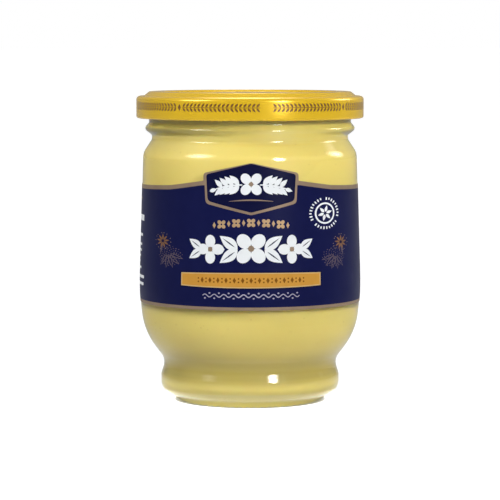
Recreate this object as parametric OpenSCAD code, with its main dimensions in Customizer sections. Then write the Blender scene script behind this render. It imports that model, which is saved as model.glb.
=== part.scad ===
// Goblet-shaped mustard jar: a glass jar that narrows to a waist above a rounded
// foot, filled with mustard, closed by a pressed twist-off lid and wrapped in a
// paper label with a raised plaque at its top edge.
// Millimetres, +Z up. The origin is the centre of the base, and the plaque faces -Y.

/* [Glass body] */
// Height of the glass, from what it stands on to its rim
glass_h = 92.9; // [77:0.1:112]
// Thickness of the glass wall
wall = 2.2; // [1.8:0.1:2.7]
// Radius of the body at its widest place
body_r = 33.4; // [28:0.1:41]
// Height of the widest place above the base
widest_z = 33; // [28:0.5:39]
// Radius of the body's slight curve there
widest_bend = 70; // [50:5:90]
// How much narrower the body is below the shoulder, on the radius
body_taper = 1.2; // [0:0.1:2]
// How much narrower the body is where it starts to curve in to the waist, on the radius
belly_in = 1.2; // [0.5:0.1:2.5]
// Height above the waist at which that curve turns
belly_rise = 9; // [8:0.1:11]
// Radius of the curve from the body in to the waist
belly_bend = 21; // [10:1:25]
// Radius of the shoulder's curve
shoulder_bend = 5; // [3:0.5:6]
// Height of the sloping shoulder, from the neck down to the body
shoulder_h = 4; // [3:0.1:5]

/* [Foot] */
// Radius of the foot
foot_r = 26.9; // [24:0.1:32]
// Height at which the foot starts to narrow to the waist
foot_h = 7.8; // [6.6:0.1:9.3]
// Radius of the curve there
foot_bend = 3; // [1.5:0.1:4]
// How far the heel slopes in under the foot, on the radius
heel_in = 5.9; // [5:0.1:6.8]
// Height of the sloping heel
heel_h = 3.5; // [2.6:0.1:4]
// Radius of the heel's curve into the foot
heel_bend = 4; // [2:0.1:5]
// Radius of the waist's corner, before rounding
waist_r = 25.55; // [21.5:0.05:26.5]
// Height of the waist
waist_z = 12.1; // [10.5:0.1:14.5]
// Radius of the waist's hollow curve
waist_bend = 5; // [2:0.5:6]
// Inner radius of the ring that the jar stands on
ring_r = 18.6; // [16:0.1:19.4]
// Radius of that ring's edges
ring_bend = 0.6; // [0.3:0.1:0.8]
// Height of the hollow under the base
push_h = 1.8; // [1:0.1:2.2]
// Radius of the hollow's curve
push_bend = 4; // [2:0.5:6]
// Thickness of the glass floor
floor_t = 2.8; // [2.3:0.1:3.4]
// Radius inside, between floor and wall
floor_bend = 2.5; // [1:0.1:3]

/* [Neck and finish] */
// Radius of the finish, the straight part inside the lid
finish_r = 30.4; // [26:0.1:37]
// How far the neck lies inside the finish
neck_in = 0.85; // [0.4:0.05:1.2]
// Height of the straight neck below the bead
neck_h = 1.3; // [1:0.1:2]
// Radius of the curve from the neck into the shoulder
neck_bend = 1.5; // [0.5:0.1:2]
// How far the bead's corner stands out of the finish, before rounding
bead_out = 1.6; // [1.2:0.1:1.9]
// Half the height of the bead
bead_half = 1.9; // [1.6:0.1:2.3]
// Radius of the bead's nose
bead_bend = 1.1; // [0.6:0.1:1.3]
// Radius of the hollows above and below the bead
bead_fillet = 0.6; // [0.3:0.1:0.8]
// Gap between the bead and the lid
bead_clear = 1.3; // [0.6:0.1:2]
// Radius of the rim's edges
rim_bend = 0.9; // [0.4:0.1:1]
// Number of thread ribs round the finish, and of lugs in the lid
starts = 4; // [3:1:6]
// How far a thread rib stands out
thread_out = 1.5; // [1:0.1:1.8]
// Height of a thread rib where it meets the finish
thread_h = 2.2; // [1.6:0.1:2.8]
// Angle that a thread rib covers
thread_deg = 44; // [36:1:50]

/* [Lid] */
// Height of the lid, from its lower edge to its top
lid_h = 8; // [7:0.1:9.6]
// Thickness of the lid's sheet
sheet_t = 0.3; // [0.25:0.05:0.4]
// Gap between the thread ribs and the lid's skirt
skirt_play = 2.05; // [1.6:0.05:2.4]
// Radius of the rolled edge at the bottom of the skirt
curl_r = 0.65; // [0.5:0.05:0.8]
// Drop from the lid's top to the crease round it
crease_drop = 1.3; // [1:0.1:1.6]
// Width of the slope from the top ring out to the crease
crease_w = 1.6; // [1.2:0.1:1.9]
// Radius of the skirt's shoulder
lid_bend = 1.15; // [0.5:0.05:1.3]
// Radius of the pressed edges on the lid's top
press_bend = 0.5; // [0.4:0.05:0.6]
// How far the top ring reaches inside the glass's bore
ring_in = 1; // [0.5:0.1:2]
// Depth of the panel inside the top ring
panel_drop = 0.7; // [0.5:0.1:0.9]
// Radius of the raised button in the panel
button_r = 12; // [8:0.5:15]
// Height of the button
button_h = 0.35; // [0.2:0.05:0.45]
// How far the lugs reach in from the skirt
lug_reach = 2.9; // [2.5:0.1:3.1]
// Angle that a lug covers
lug_deg = 14; // [10:1:18]
// Thickness of a lug
lug_t = 0.8; // [0.6:0.1:1]
// Gap between a lug and the thread rib above it
lug_play = 0.15; // [0.1:0.05:0.3]

/* [Mustard] */
// Depth of the mustard's surface below the rim
headspace = 3.2; // [2.6:0.1:3.8]
// Gap between the mustard and the glass
fill_gap = 0.05; // [0.02:0.01:0.1]

/* [Label] */
// Thickness of the label
label_t = 0.2; // [0.15:0.05:0.3]
// Thickness of the glue under the label
glue_t = 0.03; // [0.01:0.01:0.05]
// Distance of the label's lower edge below the widest place
label_drop = 2.9; // [0:0.1:3.5]
// Distance of the plaque's peak below the shoulder's corner
peak_drop = 1.8; // [1.2:0.1:3]
// Height of the plaque's sloping top
peak_h = 2.9; // [2:0.1:3.5]
// Height of the plaque's upright sides above the label's edge
plaque_side = 2.2; // [1.8:0.05:4]
// Width of the plaque
plaque_w = 27.6; // [24:0.1:34]
// Radius of the plaque's corners
plaque_bend = 1.2; // [0.5:0.1:2]
// How far the label's top edge falls from the plaque to where it bends
edge_drop = 1.7; // [0:0.1:3]
// Distance of that bend from the plaque, as seen from the front
edge_run = 10.2; // [6:0.1:12]
// Radius of the bend
edge_bend = 25; // [0:1:40]
// How much further the edge falls on its way to the sides
side_drop = 0.7; // [0:0.1:1.5]
// Width of the bare strip between the label's ends, at the back
seam_w = 5; // [2:0.5:8]

/* [Hidden] */

// Steps of a curve in degrees, and the facet number that gives true round solids
ARC_STEP = 5;
ROUND = 96;
// Most of a side that one rounded corner may use
SIDE_SHARE = 0.495;
// How deep a rib or lug is rooted in what carries it
ROOT = 0.15;
// Width of the rim's flat top, on the radius
RIM_FLAT = 0.3;

// Lid and thread, measured down from the rim that the lid is seated on
lid_z1 = glass_h + sheet_t;
lid_z0 = lid_z1 - lid_h;
thread_r = finish_r + thread_out;
skirt_r = thread_r + skirt_play;
lid_r = skirt_r + sheet_t;
lug_z0 = lid_z0 + curl_r - lug_t / 2;
thread_z0 = lug_z0 + lug_t + lug_play;

// Glass, from the lid down to the shoulder
bead_z = lid_z0 - bead_clear - bead_half;
neck_r = finish_r - neck_in;
neck_z1 = bead_z - bead_half;
neck_z0 = neck_z1 - neck_h;
bore_r = neck_r - wall;
shoulder_z = neck_z0 - shoulder_h;
shoulder_r = body_r - body_taper;

// Glass, from the base up to the belly
belly_r = body_r - belly_in;
belly_z = waist_z + belly_rise;
floor_z = push_h + floor_t;

// Outer side of the glass above the base, each corner as [radius, height, rounding]
SIDE = [
    [foot_r, foot_h, foot_bend],
    [waist_r, waist_z, waist_bend],
    [belly_r, belly_z, belly_bend],
    [body_r, widest_z, widest_bend],
    [shoulder_r, shoulder_z, shoulder_bend],
    [neck_r, neck_z0, neck_bend]
];

// ---- Outlines -------------------------------------------------------------

function flat(p) = [p[0], p[1]];
function unit(v) = v / norm(v);
function heading(v) = atan2(v[1], v[0]);
function turn(from, to) =
    let(d = to - from)
    d > 180 ? d - 360 : d < -180 ? d + 360 : d;

// Arc that rounds corner b of the path a-b-c. Short sides limit its radius.
function arc(a, b, c, radius) =
    let(
        u = unit(a - b),
        v = unit(c - b),
        half = acos(u * v) / 2,
        room = SIDE_SHARE * min(norm(a - b), norm(c - b)),
        reach = min(radius / tan(half), room),
        r = reach * tan(half),
        hub = b + unit(u + v) * r / sin(half),
        start = heading(b + u * reach - hub),
        sweep = turn(start, heading(b + v * reach - hub)),
        steps = max(2, ceil(abs(sweep) / ARC_STEP))
    )
    [
        for (i = [0:steps])
            let(at = start + sweep * i / steps)
            hub + r * [cos(at), sin(at)]
    ];

// Path through corners [x, y, rounding]. Its two ends stay sharp.
function rounded(path) = [
    for (i = [0:len(path) - 1])
        let(sharp = i == 0 || i == len(path) - 1 || path[i][2] == 0)
        each sharp
            ? [flat(path[i])]
            : arc(flat(path[i - 1]), flat(path[i]), flat(path[i + 1]), path[i][2])
];

// Left-hand normal of the path's side that starts at corner i
function side_normal(path, i) =
    let(along = unit(flat(path[i + 1]) - flat(path[i])))
    [-along[1], along[0]];

// Path moved to its left by d. A left turn's rounding shrinks by d, a right turn's grows.
function inset(path, d) = [
    for (i = [0:len(path) - 1])
        let(
            last = len(path) - 1,
            n0 = side_normal(path, max(i - 1, 0)),
            n1 = side_normal(path, min(i, last - 1)),
            at = flat(path[i]) + (n0 + n1) * d / (1 + n0 * n1),
            left = cross(n0, n1) > 0
        )
        [at[0], at[1], path[i][2] == 0 ? 0 : max(path[i][2] + (left ? -d : d), d / 2)]
];

function reversed(list) = [for (i = [len(list) - 1:-1:0]) list[i]];

// ---- Profiles -------------------------------------------------------------

BODY_LINE = rounded(SIDE);

// Radius of the body's outer side at height z
function side_r(z) = lookup(z, [for (p = BODY_LINE) [p[1], p[0]]]);

// Outer side of the jar, from the axis under the base to the rim
function jar_outside() = concat(
    [
        [0, push_h, 0],
        [ring_r - 2 * push_h, push_h, push_bend],
        [ring_r, 0, ring_bend],
        [foot_r - heel_in, 0, ring_bend],
        [foot_r, heel_h, heel_bend]
    ],
    SIDE,
    [
        [neck_r, neck_z1, bead_fillet],
        [finish_r + bead_out, bead_z, bead_bend],
        [finish_r, bead_z + bead_half, bead_fillet],
        [finish_r, glass_h, rim_bend],
        [finish_r - rim_bend - RIM_FLAT, glass_h, 0]
    ]
);

// Cavity, from the axis at the floor to height z, inset by gap from the glass
function cavity(z, gap) =
    let(
        inner = inset(concat(SIDE, [[neck_r, neck_z1, 0]]), wall),
        wall_path = concat(
            [[0, floor_z, 0], [foot_r - wall, floor_z, floor_bend]],
            [for (i = [1:len(inner) - 2]) inner[i]],
            [[bore_r, z, 0]]
        )
    )
    inset(wall_path, gap);

module jar() {
    color([0.86, 0.90, 0.84, 0.4]) {
        difference() {
            rotate_extrude($fn = ROUND)
                polygon(concat(rounded(jar_outside()), [[0, glass_h]]));
            rotate_extrude($fn = ROUND)
                polygon(concat(rounded(cavity(glass_h - rim_bend, 0)), mouth()));
        }
        for (i = [0:starts - 1])
            rotate([0, 0, i * 360 / starts])
                thread_rib();
    }
}

// Top of the cavity, which opens out round the rim's inner edge
function mouth() = [
    for (at = [0:3 * ARC_STEP:90])
        [bore_r + rim_bend * (1 - cos(at)), glass_h - rim_bend * (1 - sin(at))],
    [0, glass_h]
];

// One rib of the twist-off thread, with a flat underside for the lug to pull on
module thread_rib() {
    rotate([0, 0, -90 - thread_deg / 2])
        rotate_extrude(angle = thread_deg, $fn = ROUND)
            polygon([
                [finish_r - ROOT, thread_z0],
                [thread_r, thread_z0],
                [thread_r, thread_z0 + thread_h / 2],
                [finish_r - ROOT, thread_z0 + thread_h]
            ]);
}

module mustard() {
    color([0.91, 0.81, 0.42])
        rotate_extrude($fn = ROUND)
            polygon(concat(rounded(cavity(glass_h - headspace, fill_gap)), [[0, glass_h - headspace]]));
}

// Outer side of the lid, from the skirt's lower edge to the middle of the top
function lid_outside() = [
    [lid_r, lid_z0 + curl_r, 0],
    [lid_r, lid_z1 - crease_drop, lid_bend],
    [finish_r + crease_w, lid_z1 - crease_drop, press_bend],
    [finish_r, lid_z1, press_bend],
    [bore_r - ring_in, lid_z1, press_bend],
    [bore_r - ring_in - panel_drop, lid_z1 - panel_drop, press_bend],
    [button_r + button_h, lid_z1 - panel_drop, press_bend],
    [button_r - 3 * button_h, lid_z1 - panel_drop + button_h, 2 * press_bend],
    [0, lid_z1 - panel_drop + button_h, 0]
];

module lid() {
    color([0.85, 0.69, 0.16]) {
        rotate_extrude($fn = ROUND) {
            polygon(concat(
                rounded(lid_outside()),
                reversed(rounded(inset(lid_outside(), sheet_t)))
            ));
            translate([lid_r - curl_r, lid_z0 + curl_r])
                circle(r = curl_r, $fn = ROUND);
        }
        for (i = [0:starts - 1])
            rotate([0, 0, i * 360 / starts])
                lug();
    }
}

// One lug, which reaches in from the curl to under a thread rib
module lug() {
    rotate([0, 0, -90 - lug_deg / 2])
        rotate_extrude(angle = lug_deg, $fn = ROUND)
            translate([lid_r - sheet_t - lug_reach, lug_z0])
                square([lug_reach - curl_r, lug_t]);
}

// Front of the label as seen along the Y axis, from below its lower edge up
module label_front() {
    peak_z = shoulder_z - peak_drop;
    side_z = peak_z - peak_h;
    edge_z = side_z - plaque_side;
    half = plaque_w / 2;
    far = body_r + 1;
    right = [
        [far, 0, 0],
        [far, edge_z - edge_drop - side_drop, 0],
        [half + edge_run, edge_z - edge_drop, edge_bend],
        [half, edge_z, 0],
        [half, side_z, plaque_bend]
    ];
    left = [for (p = reversed(right)) [-p[0], p[1], p[2]]];
    polygon(rounded(concat(right, [[0, peak_z, 2 * plaque_bend]], left)));
}

// Band that lies on the glass all round, from the lower edge up to height z
module label_band(z) {
    z0 = widest_z - label_drop;
    line = concat(
        [[side_r(z0), z0]],
        [for (p = BODY_LINE) if (p[1] > z0 && p[1] < z) p],
        [[side_r(z), z]]
    );
    rotate_extrude($fn = ROUND)
        polygon(concat(
            [for (p = line) p + [glue_t, 0]],
            reversed([for (p = line) p + [glue_t + label_t, 0]])
        ));
}

module label() {
    peak_z = shoulder_z - peak_drop;
    back_z = peak_z - peak_h - plaque_side - edge_drop - side_drop;
    far = body_r + 1;
    color([0.10, 0.12, 0.36])
        difference() {
            label_band(peak_z);
            difference() {
                translate([-far, -far, back_z])
                    cube([2 * far, 2 * far, glass_h]);
                rotate([90, 0, 0])
                    linear_extrude(height = far)
                        label_front();
            }
            translate([-seam_w / 2, 0, 0])
                cube([seam_w, far, glass_h]);
        }
}

jar();
mustard();
lid();
label();
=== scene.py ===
"""Looks of a goblet-shaped mustard jar with a twist-off lid and a wrap-round label.

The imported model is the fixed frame. Its turned nodes give their own profiles, and
glass, mustard and lid are turned again from those at a finer pitch. The label and
the lid's skirt are flat sheets cut along the edges of their print, and are then
rolled round the jar. Lengths are metres, except in the print, which is drawn flat
in millimetres: x is the arc from the middle of the front, and y is the height.
"""

import logging
import math
import random
from collections.abc import Callable, Iterable, Sequence
from dataclasses import dataclass, field
from enum import Enum
from typing import ClassVar

import bmesh
import bpy
import numpy as np
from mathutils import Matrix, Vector
from mathutils.geometry import delaunay_2d_cdt


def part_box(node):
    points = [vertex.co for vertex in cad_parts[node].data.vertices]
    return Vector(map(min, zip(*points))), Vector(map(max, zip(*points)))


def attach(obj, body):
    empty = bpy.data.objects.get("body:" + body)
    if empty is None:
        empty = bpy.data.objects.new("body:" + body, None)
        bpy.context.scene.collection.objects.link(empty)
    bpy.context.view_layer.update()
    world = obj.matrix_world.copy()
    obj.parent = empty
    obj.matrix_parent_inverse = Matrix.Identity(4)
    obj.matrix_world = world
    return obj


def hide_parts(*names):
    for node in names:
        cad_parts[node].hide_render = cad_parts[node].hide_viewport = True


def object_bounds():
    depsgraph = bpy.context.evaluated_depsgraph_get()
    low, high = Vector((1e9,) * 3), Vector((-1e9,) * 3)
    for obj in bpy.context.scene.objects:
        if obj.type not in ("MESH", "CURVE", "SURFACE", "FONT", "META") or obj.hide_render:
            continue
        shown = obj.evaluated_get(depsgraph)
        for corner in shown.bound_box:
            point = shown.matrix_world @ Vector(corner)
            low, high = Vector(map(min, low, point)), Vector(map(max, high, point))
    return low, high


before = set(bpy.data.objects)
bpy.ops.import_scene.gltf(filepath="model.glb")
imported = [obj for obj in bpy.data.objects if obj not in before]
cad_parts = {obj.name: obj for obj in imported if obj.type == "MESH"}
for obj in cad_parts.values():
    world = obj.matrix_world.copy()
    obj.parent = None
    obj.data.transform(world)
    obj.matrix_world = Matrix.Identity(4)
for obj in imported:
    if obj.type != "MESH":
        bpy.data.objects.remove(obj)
CAD_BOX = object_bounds()

MM = 0.001
TAU = 2 * math.pi
SAME = 1e-6  # metres: places closer than this are one place
ON_AXIS = 1e-9  # metres: a radius below this is on the axis
BODY = "root"

Point = tuple[float, float]
Span = tuple[float, float]
Polygon = list[Point]
Profile = list[Point]
Colour = tuple[float, float, float]
Shaper = Callable[[np.ndarray, np.ndarray, np.ndarray], tuple[np.ndarray, np.ndarray]]

log = logging.getLogger("mustard_jar")


# ---- Turned surfaces --------------------------------------------------------


def turned_profile(node: str, azimuth: float = math.pi / 4, window: float = 0.16) -> Profile:
    """Profile of a CAD node that was turned round the Z axis.

    The node's rings are read from its vertices near one azimuth, where no thread
    rib or lug is, and are put in order along the edges that join them.

    Args:
        node: Name of the CAD node.
        azimuth: Angle of the place that is read, from +X, in radians.
        window: Half the width of that place, in radians.

    Returns:
        (radius, height) points from the axis back to the axis, with the solid on
        the left, starting at the lower end.
    """
    same = 2e-6
    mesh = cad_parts[node].data
    rings: list[Point] = []
    ring_of: dict[int, int] = {}
    for vertex in mesh.vertices:
        x, y, z = vertex.co
        radius = math.hypot(x, y)
        away = (math.atan2(y, x) - azimuth + math.pi) % TAU - math.pi
        if abs(away) > window or radius < same:
            continue
        for number, (r, h) in enumerate(rings):
            if abs(r - radius) < same and abs(h - z) < same:
                break
        else:
            number = len(rings)
            rings.append((radius, z))
        ring_of[vertex.index] = number
    joined: dict[int, set[int]] = {number: set() for number in range(len(rings))}
    for edge in mesh.edges:
        a, b = (ring_of.get(v) for v in edge.vertices)
        if a is not None and b is not None and a != b:
            joined[a].add(b)
            joined[b].add(a)
    ends = [number for number, others in joined.items() if len(others) == 1]
    here = min(ends, key=lambda number: rings[number][1])
    order, seen = [here], {here}
    while True:
        onward = [number for number in joined[here] if number not in seen]
        if not onward:
            break
        here = onward[0]
        seen.add(here)
        order.append(here)
    chain = [rings[number] for number in order]
    return [(0.0, chain[0][1]), *chain, (0.0, chain[-1][1])]


def resampled(profile: Profile, step: float, whole: tuple[int, int] | None = None) -> Profile:
    """The profile with its long sides divided, and a holding point near their ends.

    Args:
        profile: Points in order.
        step: Longest side that is left undivided.
        whole: Numbers of two neighbouring points whose side stays undivided.

    Returns:
        The longer list of points.
    """
    hold = 0.06 * step
    points = [profile[0]]
    for number, (a, b) in enumerate(zip(profile, profile[1:])):
        length = math.dist(a, b)
        if length > 1.4 * step and (number, number + 1) != whole:
            pieces = math.ceil(length / step)
            shares = [hold / length, *(k / pieces for k in range(1, pieces)), 1 - hold / length]
            points += [(a[0] + (b[0] - a[0]) * t, a[1] + (b[1] - a[1]) * t) for t in shares]
        points.append(b)
    return points


def pushed_out(profile: Profile, distance: float) -> Profile:
    """The profile moved off its solid by a distance, square to its sides.

    Args:
        profile: Points in order, with the solid on the left.
        distance: How far each point moves.

    Returns:
        The moved points. Points on the axis stay on it.
    """
    path = np.array(profile)
    along = np.diff(path, axis=0)
    along /= np.maximum(np.linalg.norm(along, axis=1, keepdims=True), 1e-12)
    right = np.stack([along[:, 1], -along[:, 0]], axis=1)
    at_point = np.vstack([right[:1], right[:-1] + right[1:], right[-1:]])
    at_point /= np.linalg.norm(at_point, axis=1, keepdims=True)
    moved = path + at_point * distance
    moved[path[:, 0] < ON_AXIS, 0] = 0.0
    return [(float(r), float(z)) for r, z in moved]


@dataclass
class Lathe:
    """A closed surface that a profile makes round the Z axis.

    Angles are measured from the front, -Y, towards +X.
    """

    profile: Profile
    angles: np.ndarray
    skip: int | None = None

    @staticmethod
    def even_angles(count: int) -> np.ndarray:
        """Angles at an even pitch, from the back all the way round."""
        return -math.pi + TAU * np.arange(count) / count

    def vertices(self, shaper: Shaper | None) -> tuple[np.ndarray, list[np.ndarray]]:
        """Vertices of all rings.

        Args:
            shaper: Changes (angle, radius, height) arrays to new radii and heights.

        Returns:
            The vertices, and the vertex numbers of each ring. A ring on the axis
            has one vertex.
        """
        points, rings, count = [], [], 0
        for radius, height in self.profile:
            if radius < ON_AXIS:
                block = np.array([[0.0, 0.0, height]])
            else:
                radii = np.full(len(self.angles), radius)
                heights = np.full(len(self.angles), height)
                if shaper:
                    radii, heights = shaper(self.angles, radii, heights)
                x = radii * np.sin(self.angles)
                y = -radii * np.cos(self.angles)
                block = np.stack([x, y, heights], axis=1)
            points.append(block)
            rings.append(np.arange(count, count + len(block)))
            count += len(block)
        return np.vstack(points), rings

    def build(self, shaper: Shaper | None = None) -> tuple[np.ndarray, list[tuple[int, ...]], list[int]]:
        """The whole surface.

        Args:
            shaper: Changes (angle, radius, height) arrays to new radii and heights.

        Returns:
            Vertices, faces, and for each face the number of its first profile point.
        """
        points, rings = self.vertices(shaper)
        faces: list[tuple[int, ...]] = []
        sides: list[int] = []
        count = len(self.angles)
        for number, (low, high) in enumerate(zip(rings, rings[1:])):
            if number == self.skip:
                continue
            for k in range(count):
                n = (k + 1) % count
                if len(low) == 1:
                    faces.append((low[0], high[n], high[k]))
                elif len(high) == 1:
                    faces.append((low[k], low[n], high[0]))
                else:
                    faces.append((low[k], low[n], high[n], high[k]))
                sides.append(number)
        return points, faces, sides


def new_piece(
    name: str,
    points: np.ndarray,
    faces: Sequence[Sequence[int]],
    materials: Sequence[bpy.types.Material],
    slots: Sequence[int] | None = None,
) -> bpy.types.Object:
    """A smooth-shaded mesh object in the scene.

    Args:
        name: Name of the piece.
        points: Vertices, in metres.
        faces: Vertex numbers of each face.
        materials: The mesh's materials.
        slots: Material number of each face.

    Returns:
        The new object.
    """
    mesh = bpy.data.meshes.new(name)
    mesh.from_pydata([tuple(map(float, p)) for p in points], [], [tuple(map(int, f)) for f in faces])
    for material in materials:
        mesh.materials.append(material)
    mesh.polygons.foreach_set("use_smooth", [True] * len(mesh.polygons))
    if slots is not None:
        mesh.polygons.foreach_set("material_index", list(slots))
    mesh.update()
    piece = bpy.data.objects.new(name, mesh)
    bpy.context.scene.collection.objects.link(piece)
    return piece


def smooth_step(value: np.ndarray, low: float, high: float) -> np.ndarray:
    """0 below low, 1 above high, and an even rise between."""
    t = np.clip((value - low) / (high - low), 0, 1)
    return t * t * (3 - 2 * t)


# ---- Shader groups that several finishes share ------------------------------


class Board:
    """A node tree that is being wired up."""

    def __init__(self, tree: bpy.types.NodeTree) -> None:
        """Starts on an empty tree."""
        self.tree = tree
        tree.nodes.clear()

    def add(self, kind: str, **inputs: object) -> bpy.types.Node:
        """Adds a node.

        Args:
            kind: Node type, without its ShaderNode prefix.
            **inputs: Socket values or links by socket name, with _ for a space. Names
                that aren't sockets are set as properties of the node.

        Returns:
            The node.
        """
        node = self.tree.nodes.new(kind if kind.startswith("Node") else "ShaderNode" + kind)
        for key, value in inputs.items():
            if hasattr(node, key) and key.islower():
                setattr(node, key, value)
        for key, value in inputs.items():
            name = key.replace("_", " ")
            if hasattr(node, key) and key.islower():
                continue
            self.feed(node.inputs[name], value)
        return node

    def feed(self, socket: bpy.types.NodeSocket, value: object) -> None:
        """Links a socket to the socket, or sets it to the value, that is given.

        Args:
            socket: Input of a node in this tree.
            value: A socket to link it to, or its value.
        """
        if isinstance(value, bpy.types.NodeSocket):
            self.tree.links.new(value, socket)
        elif isinstance(value, tuple) and len(value) == 3 and socket.type == "RGBA":
            socket.default_value = (*value, 1.0)
        else:
            socket.default_value = value


def group(
    name: str, inputs: dict[str, str], outputs: dict[str, str]
) -> tuple[Board, bpy.types.Node, bpy.types.Node]:
    """Starts a shader node group with named sockets.

    Args:
        name: Name of the group.
        inputs: Socket type, without its NodeSocket prefix, by input name.
        outputs: The same for the outputs.

    Returns:
        The group's board, its input node and its output node.
    """
    tree = bpy.data.node_groups.new(name, "ShaderNodeTree")
    for key, kind in inputs.items():
        tree.interface.new_socket(key, in_out="INPUT", socket_type="NodeSocket" + kind)
    for key, kind in outputs.items():
        tree.interface.new_socket(key, in_out="OUTPUT", socket_type="NodeSocket" + kind)
    board = Board(tree)
    return board, board.add("NodeGroupInput"), board.add("NodeGroupOutput")


class Effects:
    """The node groups that more than one finish uses, each built once."""

    def __init__(self) -> None:
        """Builds the groups."""
        self.cloud = self._cloud()
        self.grain = self._grain()
        self.handling = self._handling()

    @staticmethod
    def _cloud() -> bpy.types.NodeTree:
        """Two colours that drift into each other. Frequency is waves per metre.

        Returns:
            The group's node tree.
        """
        board, given, out = group(
            "cloud",
            {"Base": "Color", "Drift": "Color", "Frequency": "Float", "Share": "Float"},
            {"Color": "Color"},
        )
        place = board.add("TexCoord")
        noise = board.add("TexNoise", Vector=place.outputs["Object"], Detail=3.0, Roughness=0.55)
        board.feed(noise.inputs["Scale"], given.outputs["Frequency"])
        spread = board.add("MapRange", Value=noise.outputs["Fac"], From_Min=0.34, From_Max=0.66)
        share = board.add("Math", operation="MULTIPLY")
        board.feed(share.inputs[0], spread.outputs["Result"])
        board.feed(share.inputs[1], given.outputs["Share"])
        mix = board.add("Mix", data_type="RGBA")
        board.feed(mix.inputs["Factor"], share.outputs[0])
        board.feed(mix.inputs[6], given.outputs["Base"])
        board.feed(mix.inputs[7], given.outputs["Drift"])
        board.feed(out.inputs["Color"], mix.outputs[2])
        return board.tree

    @staticmethod
    def _grain() -> bpy.types.NodeTree:
        """Height of a fine grain over a slow wave, 0 to 1, and a mask of sparse specks.

        Returns:
            The group's node tree.
        """
        board, given, out = group(
            "grain",
            {"Grain": "Float", "Wave": "Float", "Wave Share": "Float", "Speck": "Float"},
            {"Height": "Float", "Specks": "Float"},
        )
        place = board.add("TexCoord")
        fine = board.add("TexNoise", Vector=place.outputs["Object"], Detail=2.0)
        board.feed(fine.inputs["Scale"], given.outputs["Grain"])
        slow = board.add("TexNoise", Vector=place.outputs["Object"], Detail=1.0)
        board.feed(slow.inputs["Scale"], given.outputs["Wave"])
        mix = board.add("Mix", data_type="FLOAT")
        board.feed(mix.inputs["Factor"], given.outputs["Wave Share"])
        board.feed(mix.inputs[2], fine.outputs["Fac"])
        board.feed(mix.inputs[3], slow.outputs["Fac"])
        board.feed(out.inputs["Height"], mix.outputs[0])
        cells = board.add("TexVoronoi", Vector=place.outputs["Object"], Randomness=1.0)
        board.feed(cells.inputs["Scale"], given.outputs["Speck"])
        near = board.add("MapRange", Value=cells.outputs["Distance"], From_Min=0.16, From_Max=0.06)
        pick = board.add("SeparateColor", Color=cells.outputs["Color"])
        few = board.add("Math", operation="GREATER_THAN")
        board.feed(few.inputs[0], pick.outputs[0])
        few.inputs[1].default_value = 0.55
        both = board.add("Math", operation="MULTIPLY")
        board.feed(both.inputs[0], near.outputs["Result"])
        board.feed(both.inputs[1], few.outputs[0])
        board.feed(out.inputs["Specks"], both.outputs[0])
        return board.tree

    @staticmethod
    def _handling() -> bpy.types.NodeTree:
        """Roughness that varies a little where hands and cartons have touched.

        Returns:
            The group's node tree.
        """
        board, given, out = group(
            "handling", {"Clean": "Float", "Touched": "Float", "Frequency": "Float"}, {"Roughness": "Float"}
        )
        place = board.add("TexCoord")
        noise = board.add("TexNoise", Vector=place.outputs["Object"], Detail=4.0, Roughness=0.6)
        board.feed(noise.inputs["Scale"], given.outputs["Frequency"])
        spread = board.add("MapRange", Value=noise.outputs["Fac"], From_Min=0.42, From_Max=0.7)
        board.feed(spread.inputs["To Min"], given.outputs["Clean"])
        board.feed(spread.inputs["To Max"], given.outputs["Touched"])
        board.feed(out.inputs["Roughness"], spread.outputs["Result"])
        return board.tree

    @staticmethod
    def place(board: Board, tree: bpy.types.NodeTree, **values: object) -> bpy.types.Node:
        """Puts a group in a material with its own values.

        Args:
            board: The material's board.
            tree: The group.
            **values: Value by input name, with _ for a space.

        Returns:
            The group's node in the material.
        """
        node = board.add("Group", node_tree=tree)
        for key, value in values.items():
            board.feed(node.inputs[key.replace("_", " ")], value)
        return node


def new_material(name: str) -> tuple[bpy.types.Material, Board, bpy.types.Node, bpy.types.Node]:
    """A material with a Principled shader.

    Args:
        name: Name of the material.

    Returns:
        The material, its board, the Principled node and the output node.
    """
    material = bpy.data.materials.new(name)
    material.use_nodes = True
    board = Board(material.node_tree)
    shader = board.add("BsdfPrincipled")
    output = board.add("OutputMaterial", Surface=shader.outputs["BSDF"])
    return material, board, shader, output


def bump(board: Board, shader: bpy.types.Node, height: bpy.types.NodeSocket, depth: float) -> None:
    """Raises the shader's surface by a height from 0 to 1 times a depth in metres."""
    relief = board.add("Bump", Height=height, Strength=1.0, Distance=depth)
    board.feed(shader.inputs["Normal"], relief.outputs["Normal"])


# ---- Finishes ---------------------------------------------------------------


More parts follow.
